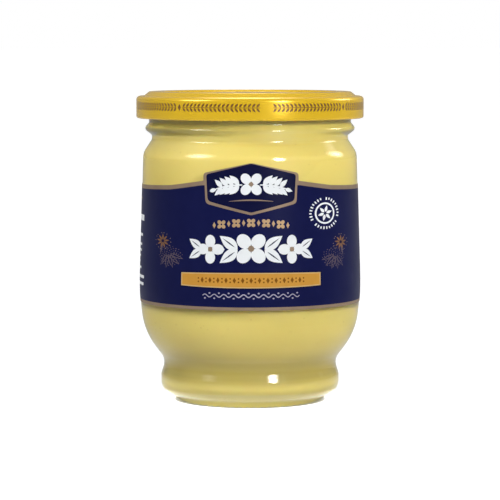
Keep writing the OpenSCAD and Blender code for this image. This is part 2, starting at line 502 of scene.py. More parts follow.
@dataclass(frozen=True)
class GlassFinish:
    """Clear pressed glass with a slight ripple."""

    tint: Colour = (0.985, 0.995, 0.982)
    ior: float = 1.51
    ripple: float = 0.012 * MM
    absorb: Colour = (0.72, 0.86, 0.76)
    density: float = 22.0

    def material(self, effects: Effects) -> bpy.types.Material:
        """The glass. Light on its way to the mustard passes straight through.

        Args:
            effects: The shared node groups.

        Returns:
            The new material.
        """
        material, board, shader, output = new_material("jar_glass")
        board.feed(shader.inputs["Base Color"], self.tint)
        shader.inputs["Roughness"].default_value = 0.0
        shader.inputs["IOR"].default_value = self.ior
        shader.inputs["Transmission Weight"].default_value = 1.0
        grain = Effects.place(board, effects.grain, Grain=420.0, Wave=95.0, Wave_Share=0.85, Speck=10.0)
        bump(board, shader, grain.outputs["Height"], self.ripple)
        path = board.add("LightPath")
        clear = board.add("BsdfTransparent", Color=(0.97, 0.98, 0.965))
        mix = board.add("MixShader")
        board.feed(mix.inputs[0], path.outputs["Is Shadow Ray"])
        board.feed(mix.inputs[1], shader.outputs["BSDF"])
        board.feed(mix.inputs[2], clear.outputs["BSDF"])
        board.feed(output.inputs["Surface"], mix.outputs[0])
        depth = board.add("VolumeAbsorption", Color=self.absorb, Density=self.density)
        board.feed(output.inputs["Volume"], depth.outputs["Volume"])
        return material


@dataclass(frozen=True)
class MustardFinish:
    """Smooth mustard with fine ground seed in it."""

    base: Colour = (0.83, 0.672, 0.190)
    drift: Colour = (0.79, 0.625, 0.155)
    seed: Colour = (0.52, 0.36, 0.08)
    # Painted shade: a darker paste colour, its strength and its band of heights, mixed in at the waist in
    # place of real shade.
    painted_waist_shade: Colour = (0.415, 0.320, 0.070)
    painted_shade_share: float = 0.85
    painted_shade_band: tuple[float, float, float, float] = (5.0 * MM, 8.6 * MM, 12.2 * MM, 19.0 * MM)

    def material(self, effects: Effects) -> bpy.types.Material:
        """Creamy paste that lets a little light in.

        Args:
            effects: The shared node groups.

        Returns:
            The new material.
        """
        material, board, shader, _ = new_material("mustard_paste")
        cloud = Effects.place(
            board, effects.cloud, Base=self.base, Drift=self.drift, Frequency=42.0, Share=0.7
        )
        grain = Effects.place(board, effects.grain, Grain=900.0, Wave=130.0, Wave_Share=0.6, Speck=520.0)
        seeds = board.add("Mix", data_type="RGBA")
        share = board.add("Math", operation="MULTIPLY")
        board.feed(share.inputs[0], grain.outputs["Specks"])
        share.inputs[1].default_value = 0.35
        board.feed(seeds.inputs["Factor"], share.outputs[0])
        board.feed(seeds.inputs[6], cloud.outputs["Color"])
        board.feed(seeds.inputs[7], self.seed)
        # The base colour gets painted shade at the waist.
        board.feed(shader.inputs["Base Color"], self._with_painted_shade(board, seeds.outputs[2]))
        shader.inputs["Roughness"].default_value = 0.42
        shader.inputs["Specular IOR Level"].default_value = 0.3
        shader.inputs["Subsurface Weight"].default_value = 0.18
        shader.inputs["Subsurface Radius"].default_value = (1.0, 0.62, 0.22)
        shader.inputs["Subsurface Scale"].default_value = 1.6 * MM
        bump(board, shader, grain.outputs["Height"], 0.05 * MM)
        return material

    def _with_painted_shade(self, board: Board, colour: bpy.types.NodeSocket) -> bpy.types.NodeSocket:
        """The colour with painted shade: a darker colour mixed in at the waist, standing in for the shade
        that falls there.

        Args:
            board: The material's board.
            colour: The colour elsewhere.

        Returns:
            The socket with the mixed colour.
        """
        place = board.add("TexCoord")
        height = board.add("SeparateXYZ", Vector=place.outputs["Object"]).outputs["Z"]
        low, full, until, high = self.painted_shade_band
        soft = "SMOOTHSTEP"
        rise = board.add("MapRange", interpolation_type=soft, Value=height, From_Min=low, From_Max=full)
        fall = board.add("MapRange", interpolation_type=soft, Value=height, From_Min=high, From_Max=until)
        rise.inputs["To Max"].default_value = self.painted_shade_share
        share = board.add("Math", operation="MULTIPLY")
        board.feed(share.inputs[0], rise.outputs["Result"])
        board.feed(share.inputs[1], fall.outputs["Result"])
        mix = board.add("Mix", data_type="RGBA")
        board.feed(mix.inputs["Factor"], share.outputs[0])
        board.feed(mix.inputs[6], colour)
        # The darker colour mixed in here is painted shade.
        board.feed(mix.inputs[7], self.painted_waist_shade)
        return mix.outputs[2]


@dataclass(frozen=True)
class LacquerFinish:
    """Printed lacquer on pressed tinplate."""

    name: str
    base: Colour
    drift: Colour
    metal: float = 0.3
    clean: float = 0.24
    touched: float = 0.28
    coat: float = 0.34

    def material(self, effects: Effects) -> bpy.types.Material:
        """Coloured lacquer over metal, with a gloss coat.

        Args:
            effects: The shared node groups.

        Returns:
            The new material.
        """
        material, board, shader, _ = new_material(self.name)
        cloud = Effects.place(
            board, effects.cloud, Base=self.base, Drift=self.drift, Frequency=30.0, Share=0.5
        )
        board.feed(shader.inputs["Base Color"], cloud.outputs["Color"])
        touch = Effects.place(
            board, effects.handling, Clean=self.clean, Touched=self.touched, Frequency=85.0
        )
        board.feed(shader.inputs["Roughness"], touch.outputs["Roughness"])
        shader.inputs["Metallic"].default_value = self.metal
        shader.inputs["Coat Weight"].default_value = self.coat
        shader.inputs["Coat Roughness"].default_value = 0.12
        grain = Effects.place(board, effects.grain, Grain=1500.0, Wave=160.0, Wave_Share=0.7, Speck=50.0)
        bump(board, shader, grain.outputs["Height"], 0.012 * MM)
        return material


@dataclass(frozen=True)
class InkFinish:
    """One ink of the label, on coated paper."""

    name: str
    base: Colour
    drift: Colour
    metal: float = 0.0
    clean: float = 0.34
    touched: float = 0.44

    def material(self, effects: Effects) -> bpy.types.Material:
        """Ink under a thin satin varnish, with the paper's grain and slight cockle.

        Args:
            effects: The shared node groups.

        Returns:
            The new material.
        """
        material, board, shader, _ = new_material(self.name)
        cloud = Effects.place(
            board, effects.cloud, Base=self.base, Drift=self.drift, Frequency=260.0, Share=0.6
        )
        board.feed(shader.inputs["Base Color"], cloud.outputs["Color"])
        touch = Effects.place(
            board, effects.handling, Clean=self.clean, Touched=self.touched, Frequency=60.0
        )
        board.feed(shader.inputs["Roughness"], touch.outputs["Roughness"])
        shader.inputs["Metallic"].default_value = self.metal
        shader.inputs["Specular IOR Level"].default_value = 0.08
        grain = Effects.place(board, effects.grain, Grain=2600.0, Wave=110.0, Wave_Share=0.8, Speck=50.0)
        bump(board, shader, grain.outputs["Height"], 0.03 * MM)
        return material


class Ink(Enum):
    """The label's inks, in the order of their material slots."""

    PAPER = InkFinish("label_paper_edge", (0.78, 0.76, 0.70), (0.72, 0.70, 0.64), clean=0.6, touched=0.7)
    NAVY = InkFinish("ink_navy", (0.0040, 0.0062, 0.0560), (0.0058, 0.0082, 0.0640))
    DEEP = InkFinish("ink_deep_navy", (0.0030, 0.0042, 0.0360), (0.0042, 0.0052, 0.0420))
    COPPER = InkFinish("ink_copper", (0.330, 0.240, 0.165), (0.265, 0.190, 0.130), metal=0.25)
    BLOSSOM = InkFinish("ink_amber", (0.270, 0.135, 0.055), (0.190, 0.095, 0.045), metal=0.15)
    DIM = InkFinish("ink_dim_copper", (0.120, 0.090, 0.112), (0.085, 0.065, 0.098), metal=0.1)
    ROW = InkFinish("ink_pale_copper", (0.560, 0.385, 0.210), (0.470, 0.310, 0.165), metal=0.15)
    WHITE = InkFinish("ink_white", (0.880, 0.910, 0.930), (0.830, 0.860, 0.890))
    LILAC = InkFinish("ink_lilac", (0.440, 0.420, 0.520), (0.360, 0.340, 0.440))
    GOLD = InkFinish("ink_gold", (0.640, 0.320, 0.052), (0.580, 0.275, 0.042))
    PALE_GOLD = InkFinish("ink_pale_gold", (0.680, 0.460, 0.210), (0.600, 0.400, 0.170))
    BROWN = InkFinish("ink_brown", (0.230, 0.085, 0.008), (0.180, 0.062, 0.006))


# ---- Print: flat shapes in millimetres --------------------------------------


def moved(shape: Polygon, x: float, y: float, turn: float = 0.0) -> Polygon:
    """The shape turned about the origin, in degrees, and then moved."""
    c, s = math.cos(math.radians(turn)), math.sin(math.radians(turn))
    return [(x + px * c - py * s, y + px * s + py * c) for px, py in shape]


def ellipse(x: float, y: float, rx: float, ry: float, turn: float = 0.0, count: int = 20) -> Polygon:
    """An ellipse with half axes rx and ry."""
    angles = [TAU * k / count for k in range(count)]
    return moved([(rx * math.cos(a), ry * math.sin(a)) for a in angles], x, y, turn)


def box(x0: float, y0: float, x1: float, y1: float) -> Polygon:
    """An upright rectangle from one corner to the other."""
    return [(x0, y0), (x1, y0), (x1, y1), (x0, y1)]


def lozenge(x: float, y: float, width: float, height: float) -> Polygon:
    """A rhombus that stands on its corner."""
    return [(x + width / 2, y), (x, y + height / 2), (x - width / 2, y), (x, y - height / 2)]


def leaf(x: float, y: float, length: float, width: float, turn: float, count: int = 9) -> Polygon:
    """A leaf with two points, fuller towards its stalk, centred on (x, y).

    Args:
        x: Place of the leaf's middle.
        y: The same, upwards.
        length: From point to point.
        width: Where it is widest.
        turn: Its direction, in degrees.
        count: Number of pieces that each side is made of.

    Returns:
        The leaf's outline.
    """
    shares = [k / count for k in range(count + 1)]
    half = [width / 2 * math.sin(math.pi * t**0.8) for t in shares]
    lower = [(length * (t - 0.5), -h) for t, h in zip(shares, half)]
    upper = [(length * (t - 0.5), h) for t, h in zip(shares, half)][-2:0:-1]
    return moved(lower + upper, x, y, turn)


def stroke(line: Sequence[Point], width: float, tip: float = 0.25) -> Polygon:
    """A line with a width that thins towards both ends.

    Args:
        line: Points in order.
        width: Width in the middle.
        tip: Share of that width that is left at the ends.

    Returns:
        The outline of the stroke.
    """
    left, right = [], []
    for k, (x, y) in enumerate(line):
        a, b = line[max(k - 1, 0)], line[min(k + 1, len(line) - 1)]
        length = math.dist(a, b)
        nx, ny = -(b[1] - a[1]) / length, (b[0] - a[0]) / length
        half = width / 2 * (tip + (1 - tip) * math.sin(math.pi * k / (len(line) - 1)))
        left.append((x + nx * half, y + ny * half))
        right.append((x - nx * half, y - ny * half))
    return right + left[::-1]


def rounded(corners: Sequence[tuple[float, float, float]], steps: int = 5) -> Polygon:
    """A closed polygon through corners (x, y, rounding).

    Args:
        corners: The corners in order, each with its rounding radius.
        steps: Number of pieces in a rounded corner.

    Returns:
        The polygon's points.
    """
    outline: Polygon = []
    count = len(corners)
    for k, (x, y, radius) in enumerate(corners):
        here = Vector((x, y))
        u = (Vector(corners[k - 1][:2]) - here).normalized()
        v = (Vector(corners[(k + 1) % count][:2]) - here).normalized()
        if radius == 0:
            outline.append((x, y))
            continue
        half = math.acos(max(-1.0, min(1.0, u.dot(v)))) / 2
        start, stop = here + u * radius / math.tan(half), here + v * radius / math.tan(half)
        for i in range(steps + 1):
            t = i / steps
            p = start * (1 - t) ** 2 + here * 2 * t * (1 - t) + stop * t * t
            outline.append((p.x, p.y))
    return outline


def bowed(half: float, low: float, high: float, bow: float, count: int = 12) -> Polygon:
    """A banner whose upper and lower edges bow out by a given height in the middle.

    Args:
        half: Half the width.
        low: Height of the lower edge at its ends.
        high: Height of the upper edge at its ends.
        bow: How far the middle stands out.
        count: Number of pieces in an edge.

    Returns:
        The banner's outline.
    """
    shares = [-1 + 2 * k / count for k in range(count + 1)]
    lower = [(half * t, low - bow * (1 - t * t)) for t in shares]
    upper = [(half * t, high + bow * (1 - t * t)) for t in reversed(shares)]
    return lower + upper


@dataclass
class Print:
    """Shapes that are laid on a sheet one over the other, each in one ink."""

    layers: list[tuple[Ink, Polygon]] = field(default_factory=list)

    def lay(self, ink: Ink, *shapes: Polygon) -> None:
        """Lays shapes over what is there."""
        self.layers += [(ink, shape) for shape in shapes]

    def spread(self, other: "Print", x: float, factor: float) -> None:
        """Lays all shapes of another print, widened about x."""
        for ink, shape in other.layers:
            self.layers.append((ink, [(x + (px - x) * factor, py) for px, py in shape]))

    def blossom(self, x: float, y: float, radius: float, ink: Ink, heart: Ink, turn: float = 45.0) -> None:
        """A four-petalled mustard flower with a heart of another ink.

        Args:
            x: Place of the middle.
            y: The same, upwards.
            radius: Reach of the petals.
            ink: Ink of the petals.
            heart: Ink of the middle.
            turn: Direction of the first petal, in degrees.
        """
        for k in range(4):
            angle = turn + 90 * k
            reach = 0.56 * radius
            px = x + reach * math.cos(math.radians(angle))
            py = y + reach * math.sin(math.radians(angle))
            self.lay(ink, ellipse(px, py, 0.44 * radius, 0.37 * radius, angle, 18))
        self.lay(heart, ellipse(x, y, 0.17 * radius, 0.17 * radius, 0, 14))

    def rosette(self, x: float, y: float, radius: float, petals: int, ink: Ink, heart: Ink) -> None:
        """A small flower of many narrow petals.

        Args:
            x: Place of the middle.
            y: The same, upwards.
            radius: Reach of the petals.
            petals: Number of petals.
            ink: Ink of the petals.
            heart: Ink of the middle.
        """
        for k in range(petals):
            angle = 360 * (k + 0.25) / petals
            px = x + 0.58 * radius * math.cos(math.radians(angle))
            py = y + 0.58 * radius * math.sin(math.radians(angle))
            self.lay(ink, leaf(px, py, 0.84 * radius, 2.3 * radius / petals, angle, 6))
        self.lay(heart, ellipse(x, y, 0.2 * radius, 0.2 * radius, 0, 10))

    def veined_leaf(
        self, x: float, y: float, length: float, width: float, turn: float, ink: Ink, vein: Ink
    ) -> None:
        """A leaf with a thin midrib."""
        self.lay(ink, leaf(x, y, length, width, turn))
        self.lay(vein, leaf(x, y, 0.72 * length, 0.11 * width, turn, 5))

    def ring(self, x: float, y: float, radius: float, width: float, ink: Ink, inside: Ink) -> None:
        """A ring, filled with another ink."""
        self.lay(ink, ellipse(x, y, radius, radius, 0, 40))
        self.lay(inside, ellipse(x, y, radius - width, radius - width, 0, 36))


@dataclass
class FlatSheet:
    """A flat sheet that is cut into triangles along every edge of its print."""

    outline: Polygon
    ground: Ink
    design: Print
    pitch: float = 1.6

    def _divided(self, shape: Polygon) -> Polygon:
        """The shape, counter-clockwise, with its long sides divided to follow a curve.

        Args:
            shape: A closed polygon.

        Returns:
            The divided polygon.
        """
        area = sum(a[0] * b[1] - b[0] * a[1] for a, b in zip(shape, shape[1:] + shape[:1]))
        ordered = shape if area > 0 else shape[::-1]
        points: Polygon = []
        for a, b in zip(ordered, ordered[1:] + ordered[:1]):
            along, up = b[0] - a[0], b[1] - a[1]
            pieces = max(1, math.ceil(abs(along) / self.pitch))
            points += [(a[0] + along * k / pieces, a[1] + up * k / pieces) for k in range(pieces)]
        return points

    def _fill(self) -> Polygon:
        """A grid of points over the sheet's box, with every other row shifted.

        Returns:
            The grid's points.
        """
        xs = [p[0] for p in self.outline]
        ys = [p[1] for p in self.outline]
        rows = max(2, round((max(ys) - min(ys)) / (1.5 * self.pitch)))
        columns = round((max(xs) - min(xs)) / self.pitch)
        return [
            (
                min(xs) + (max(xs) - min(xs)) * (column + (0.5 if row % 2 else 0.25)) / columns,
                min(ys) + (max(ys) - min(ys)) * row / rows,
            )
            for row in range(1, rows)
            for column in range(columns)
        ]

    def triangles(self) -> tuple[np.ndarray, list[tuple[int, ...]], list[Ink]]:
        """The sheet's triangles.

        Returns:
            Flat points, faces and the ink of each face.
        """
        layers = [(self.ground, self.outline), *self.design.layers]
        points: list[Vector] = []
        faces: list[list[int]] = []
        for _, shape in layers:
            divided = self._divided(shape)
            faces.append(list(range(len(points), len(points) + len(divided))))
            points += [Vector(p) for p in divided]
        points += [Vector(p) for p in self._fill()]
        flat, _, cut, _, _, sources = delaunay_2d_cdt(points, [], faces, 1, 1e-5)
        kept = [(face, layers[max(source)][0]) for face, source in zip(cut, sources) if 0 in source]
        return np.array([(p.x, p.y) for p in flat]), [tuple(f) for f, _ in kept], [ink for _, ink in kept]


@dataclass(frozen=True)
class Wrap:
    """Rolls a flat sheet round a turned surface. Heights and radii are metres."""

    heights: np.ndarray
    radii: np.ndarray
    unrolled: float

    def at(self, flat: np.ndarray, lift: float) -> tuple[np.ndarray, np.ndarray]:
        """Places flat points.

        Args:
            flat: (arc, height) points in millimetres.
            lift: Distance off the surface, in metres.

        Returns:
            Positions in metres, and unit normals.
        """
        angle = flat[:, 0] * MM / self.unrolled
        height = flat[:, 1] * MM
        radius = np.interp(height, self.heights, self.radii)
        span = 0.9 * MM
        above = np.interp(height + span, self.heights, self.radii)
        below = np.interp(height - span, self.heights, self.radii)
        lean = -np.arctan2(above - below, 2 * span)
        normal = np.stack(
            [np.cos(lean) * np.sin(angle), -np.cos(lean) * np.cos(angle), np.sin(lean)], axis=1
        )
        place = np.stack([radius * np.sin(angle), -radius * np.cos(angle), height], axis=1)
        return place + lift * normal, normal


# ---- Pieces -----------------------------------------------------------------


@dataclass
class GlassJar:
    """The glass, with mould seams, thread ribs and a knurled ring to stand on."""

    segments: int = 360
    pitch: float = 1.0 * MM
    fine_pitch: float = 0.3 * MM
    side_from: float = 20 * MM
    thread_from: float = 30 * MM
    seam_height: float = 0.05 * MM
    seam_width: float = 0.28 * MM
    seam_step: float = 0.12 / 33
    knurls: int = 60
    knurl_depth: float = 0.12 * MM
    knurl_ring: tuple[float, float, float, float] = (19.6 * MM, 20.2 * MM, 21.2 * MM, 22.4 * MM)
    ribs: int = 4
    rib_span: float = math.radians(44)
    rib_fade: float = math.radians(5)
    rib_out: float = 1.45 * MM
    rib_low: float = 1.28 * MM
    rib_height: float = 2.0 * MM
    finish: GlassFinish = GlassFinish()

    def __post_init__(self) -> None:
        """Reads the jar's profile and the heights that its details keep to."""
        self.profile = turned_profile("jar")
        self.rim = max(z for _, z in self.profile)
        top = next(k for k, (_, z) in enumerate(self.profile) if z > self.rim - SAME)
        self.outside = self.profile[1 : top + 1]
        self.lid_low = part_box("lid")[0].z

    def side(self, low: float, high: float) -> tuple[np.ndarray, np.ndarray]:
        """Heights and radii of the jar's outer side between two heights.

        Args:
            low: Lowest height, in metres.
            high: Upper end of the heights, in metres.

        Returns:
            Heights at an even pitch, and the radius at each.
        """
        heights = np.arange(low, high, 0.2 * MM)
        points = [p for p in self.outside if p[0] > self.side_from]
        zs = np.array([z for _, z in points])
        rs = np.array([r for r, _ in points])
        order = np.argsort(zs)
        return heights, np.interp(heights, zs[order], rs[order])

    def _angles(self) -> np.ndarray:
        """Even angles, with more close to the two mould seams.

        Returns:
            The angles in order.
        """
        even = Lathe.even_angles(self.segments)
        near = np.array([k * self.seam_step for k in range(-5, 6)])
        return np.unique(np.concatenate([even, math.pi / 2 + near, -math.pi / 2 + near]).round(7))

    def _shape(
        self, angles: np.ndarray, radii: np.ndarray, heights: np.ndarray
    ) -> tuple[np.ndarray, np.ndarray]:
        """Adds seams, ribs and knurling to a ring.

        Args:
            angles: Angles of the ring's points.
            radii: Their radii.
            heights: Their heights.

        Returns:
            The new radii and the new heights.
        """
        radius, height = float(radii[0]), float(heights[0])
        wall = np.interp(height, *zip(*sorted((z, r) for r, z in self.outside if r > self.side_from)))
        on_outside = radius > wall - 0.5 * MM
        if on_outside and 1 * MM < height < self.lid_low:
            gap = np.abs(np.abs(angles) - math.pi / 2) * radius
            radii = radii + self.seam_height * np.exp(-((gap / self.seam_width) ** 2))
        low = self.lid_low + self.rib_low
        if on_outside and low < height < low + self.rib_height:
            rise = math.sin(math.pi * (height - low) / self.rib_height) ** 0.55
            turn = TAU / self.ribs
            away = np.abs((angles + turn / 2) % turn - turn / 2)
            ends = 1 - smooth_step(away, self.rib_span / 2 - self.rib_fade, self.rib_span / 2)
            radii = radii + self.rib_out * rise * ends
        if height < 0.3 * MM:
            inner, full, until, outer = self.knurl_ring
            on_ring = smooth_step(radii, inner, full) * (1 - smooth_step(radii, until, outer))
            heights = heights + self.knurl_depth * on_ring * (0.5 - 0.5 * np.cos(self.knurls * angles))
        return radii, heights

    def build(self, effects: Effects) -> bpy.types.Object:
        """The glass piece.

        Args:
            effects: The shared node groups.

        Returns:
            The new piece.
        """
        profile = []
        for point in resampled(self.profile, self.pitch):
            under_lid = bool(profile) and min(point[1], profile[-1][1]) > self.lid_low
            if under_lid and point[0] > self.thread_from:
                profile += resampled([profile[-1], point], self.fine_pitch)[1:-1]
            profile.append(point)
        points, faces, _ = Lathe(profile, self._angles()).build(self._shape)
        piece = new_piece("glass_jar", points, faces, [self.finish.material(effects)])
        return dressed(piece, "jar")


@dataclass
class Filling:
    """The mustard. It reaches a little into the glass, so no air gap shows."""

    segments: int = 240
    pitch: float = 1.4 * MM
    reach: float = 0.2 * MM
    swirl: float = 0.45 * MM
    finish: MustardFinish = MustardFinish()

    def _shape(
        self, angles: np.ndarray, radii: np.ndarray, heights: np.ndarray
    ) -> tuple[np.ndarray, np.ndarray]:
        """Gives the top a filling nozzle's shallow swirl.

        Args:
            angles: Angles of the ring's points.
            radii: Their radii.
            heights: Their heights.

        Returns:
            The new radii and the new heights.
        """
        radius = float(radii[0])
        if float(heights[0]) > self.top - 0.3 * MM and radius < self.top_radius - 0.6 * MM:
            share = radius / self.top_radius
            wave = np.cos(2 * angles + 14 * share) * math.sin(math.pi * share)
            heights = heights - self.swirl * (0.5 - 0.5 * wave)
        return radii, heights

    def build(self, effects: Effects) -> bpy.types.Object:
        """The mustard piece.

        Args:
            effects: The shared node groups.

        Returns:
            The new piece.
        """
        profile = pushed_out(resampled(turned_profile("mustard"), self.pitch), self.reach)
        cad_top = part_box("mustard")[1].z
        profile = [(r, min(z, cad_top)) for r, z in profile]
        self.top = cad_top
        self.top_radius = max(r for r, z in profile if z > cad_top - SAME)
        points, faces, _ = Lathe(profile, Lathe.even_angles(self.segments)).build(self._shape)
        piece = new_piece("mustard_filling", points, faces, [self.finish.material(effects)])
        return dressed(piece, "mustard")


@dataclass
class TwistOffLid:
    """The pressed lid, with lugs in its curl and a garland printed on its skirt."""

    segments: int = 360
    pitch: float = 0.9 * MM
    lugs: int = 4
    lug_span: float = math.radians(14)
    lug_reach: float = 2.0 * MM
    lug_height: float = 1.35 * MM
    band_middle: float = 3.85
    groups: int = 4
    leaf_pairs: int = 19
    group_gap: float = math.radians(6)
    first_gap: float = math.radians(7.5)
    outside: LacquerFinish = LacquerFinish("lid_lacquer", (0.90, 0.570, 0.010), (0.89, 0.550, 0.009))
    print: LacquerFinish = LacquerFinish(
        "lid_print", (0.200, 0.085, 0.006), (0.160, 0.066, 0.005), metal=0.2, clean=0.3, touched=0.4
    )
    inside: LacquerFinish = LacquerFinish(
        "lid_inner_lacquer", (0.52, 0.30, 0.10), (0.46, 0.26, 0.085), 0.55, clean=0.34, touched=0.45
    )

    def _shape(
        self, angles: np.ndarray, radii: np.ndarray, heights: np.ndarray
    ) -> tuple[np.ndarray, np.ndarray]:
        """Pinches the curl inwards at the lugs.

        Args:
            angles: Angles of the ring's points.
            radii: Their radii.
            heights: Their heights.

        Returns:
            The new radii and the new heights.
        """
        radius, height = float(radii[0]), float(heights[0])
        inner = self.radius - radius
        if height > self.low + self.lug_height or inner < SAME:
            return radii, heights
        turn = TAU / self.lugs
        away = np.abs((angles + turn / 2) % turn - turn / 2)
        ends = 1 - smooth_step(away, 0.35 * self.lug_span, 0.6 * self.lug_span)
        share = smooth_step(np.array([inner]), 0.2 * MM, 1.2 * MM)[0]
        return radii - self.lug_reach * share * ends, heights

    def _garland(self) -> Print:
        """Laurel branches that meet at a lozenge, in groups with a gap between.

        Returns:
            The skirt's print.
        """
        design = Print()
        radius = self.radius / MM
        y = self.low / MM + self.band_middle
        turn = TAU / self.groups
        room = (turn - self.group_gap) * radius
        for number in range(self.groups):
            middle = (self.first_gap + turn / 2 + number * turn + math.pi) % TAU - math.pi
            x0 = middle * radius
            design.lay(Ink.BROWN, lozenge(x0, y, 1.2, 2.2))
            for side in (-1, 1):
                near, far = x0 + side * 1.1, x0 + side * room / 2
                design.lay(Ink.BROWN, stroke([(near, y), ((near + far) / 2, y), (far, y)], 0.22, 0.8))
                for k in range(self.leaf_pairs):
                    x = near + (far - near) * (k + 0.5) / self.leaf_pairs
                    for up in (-1, 1):
                        tilt = 48 * up if side > 0 else 180 - 48 * up
                        design.lay(Ink.BROWN, leaf(x, y + 0.72 * up, 1.55, 0.66, tilt, 6))
        return design

    def _skirt(self, low: float, high: float) -> tuple[np.ndarray, list[tuple[int, ...]], list[int]]:
        """The printed part of the skirt, whose edges meet the lathe's rings.

        Args:
            low: Height of the band's lower ring, in metres.
            high: Height of its upper ring.

        Returns:
            Points, faces and the material number of each face.
        """
        radius = self.radius / MM
        angles = [-math.pi + TAU * k / self.segments for k in range(self.segments + 1)]
        lower = [(a * radius, low / MM) for a in angles]
        upper = [(a * radius, high / MM) for a in reversed(angles)]
        sheet = FlatSheet(lower + upper, Ink.PAPER, self._garland(), pitch=2.0)
        flat, faces, inks = sheet.triangles()
        wrap = Wrap(np.array([low, high]), np.array([self.radius] * 2), self.radius)
        points, _ = wrap.at(flat, 0.0)
        return points, faces, [1 if ink is Ink.BROWN else 0 for ink in inks]

    def build(self, effects: Effects) -> bpy.types.Object:
        """The lid piece.

        Args:
            effects: The shared node groups.

        Returns:
            The new piece.
        """
        profile = turned_profile("lid")
        self.radius = max(r for r, _ in profile)
        self.low = min(z for _, z in profile)
        widest = self.radius - 10 * SAME
        drops = [
            abs(b[1] - a[1]) if abs(b[0] - a[0]) < SAME and a[0] > widest else 0
            for a, b in zip(profile, profile[1:])
        ]
        skirt = drops.index(max(drops))
        low, high = profile[skirt][1], profile[skirt + 1][1]
        profile = resampled(profile, self.pitch, whole=(skirt, skirt + 1))
        at = next(k for k, (r, z) in enumerate(profile) if r > widest and z == low)
        lathe = Lathe(profile, Lathe.even_angles(self.segments), skip=at)
        turned, faces, sides = lathe.build(self._shape)
        curl_end = next(k for k, (_, z) in enumerate(profile) if z < self.low + SAME)
        slots = [2 if side < curl_end else 0 for side in sides]
        printed, skirt_faces, inks = self._skirt(low, high)
        points = np.vstack([turned, printed])
        faces += [tuple(v + len(turned) for v in face) for face in skirt_faces]
        finishes = [self.outside, self.print, self.inside]
        materials = [finish.material(effects) for finish in finishes]
        piece = new_piece("twist_off_lid", points, faces, materials, slots + inks)
        weld(piece, SAME)
        self._even_normals(piece, low, high)
        return dressed(piece, "lid")

    def _even_normals(self, piece: bpy.types.Object, low: float, high: float) -> None:
        """Makes the printed skirt shade as the true cylinder that it lies on.

        Args:
            piece: The lid.
            low: Height of the band's lower ring, in metres.
            high: Height of its upper ring.
        """
        mesh = piece.data
        normals = [vertex.normal.copy() for vertex in mesh.vertices]
        for vertex in mesh.vertices:
            x, y, z = vertex.co
            outermost = math.hypot(x, y) > self.radius - 0.02 * MM
            if outermost and low + SAME < z < high - SAME:
                normals[vertex.index] = Vector((x, y, 0)).normalized()
        mesh.normals_split_custom_set_from_vertices([tuple(n) for n in normals])


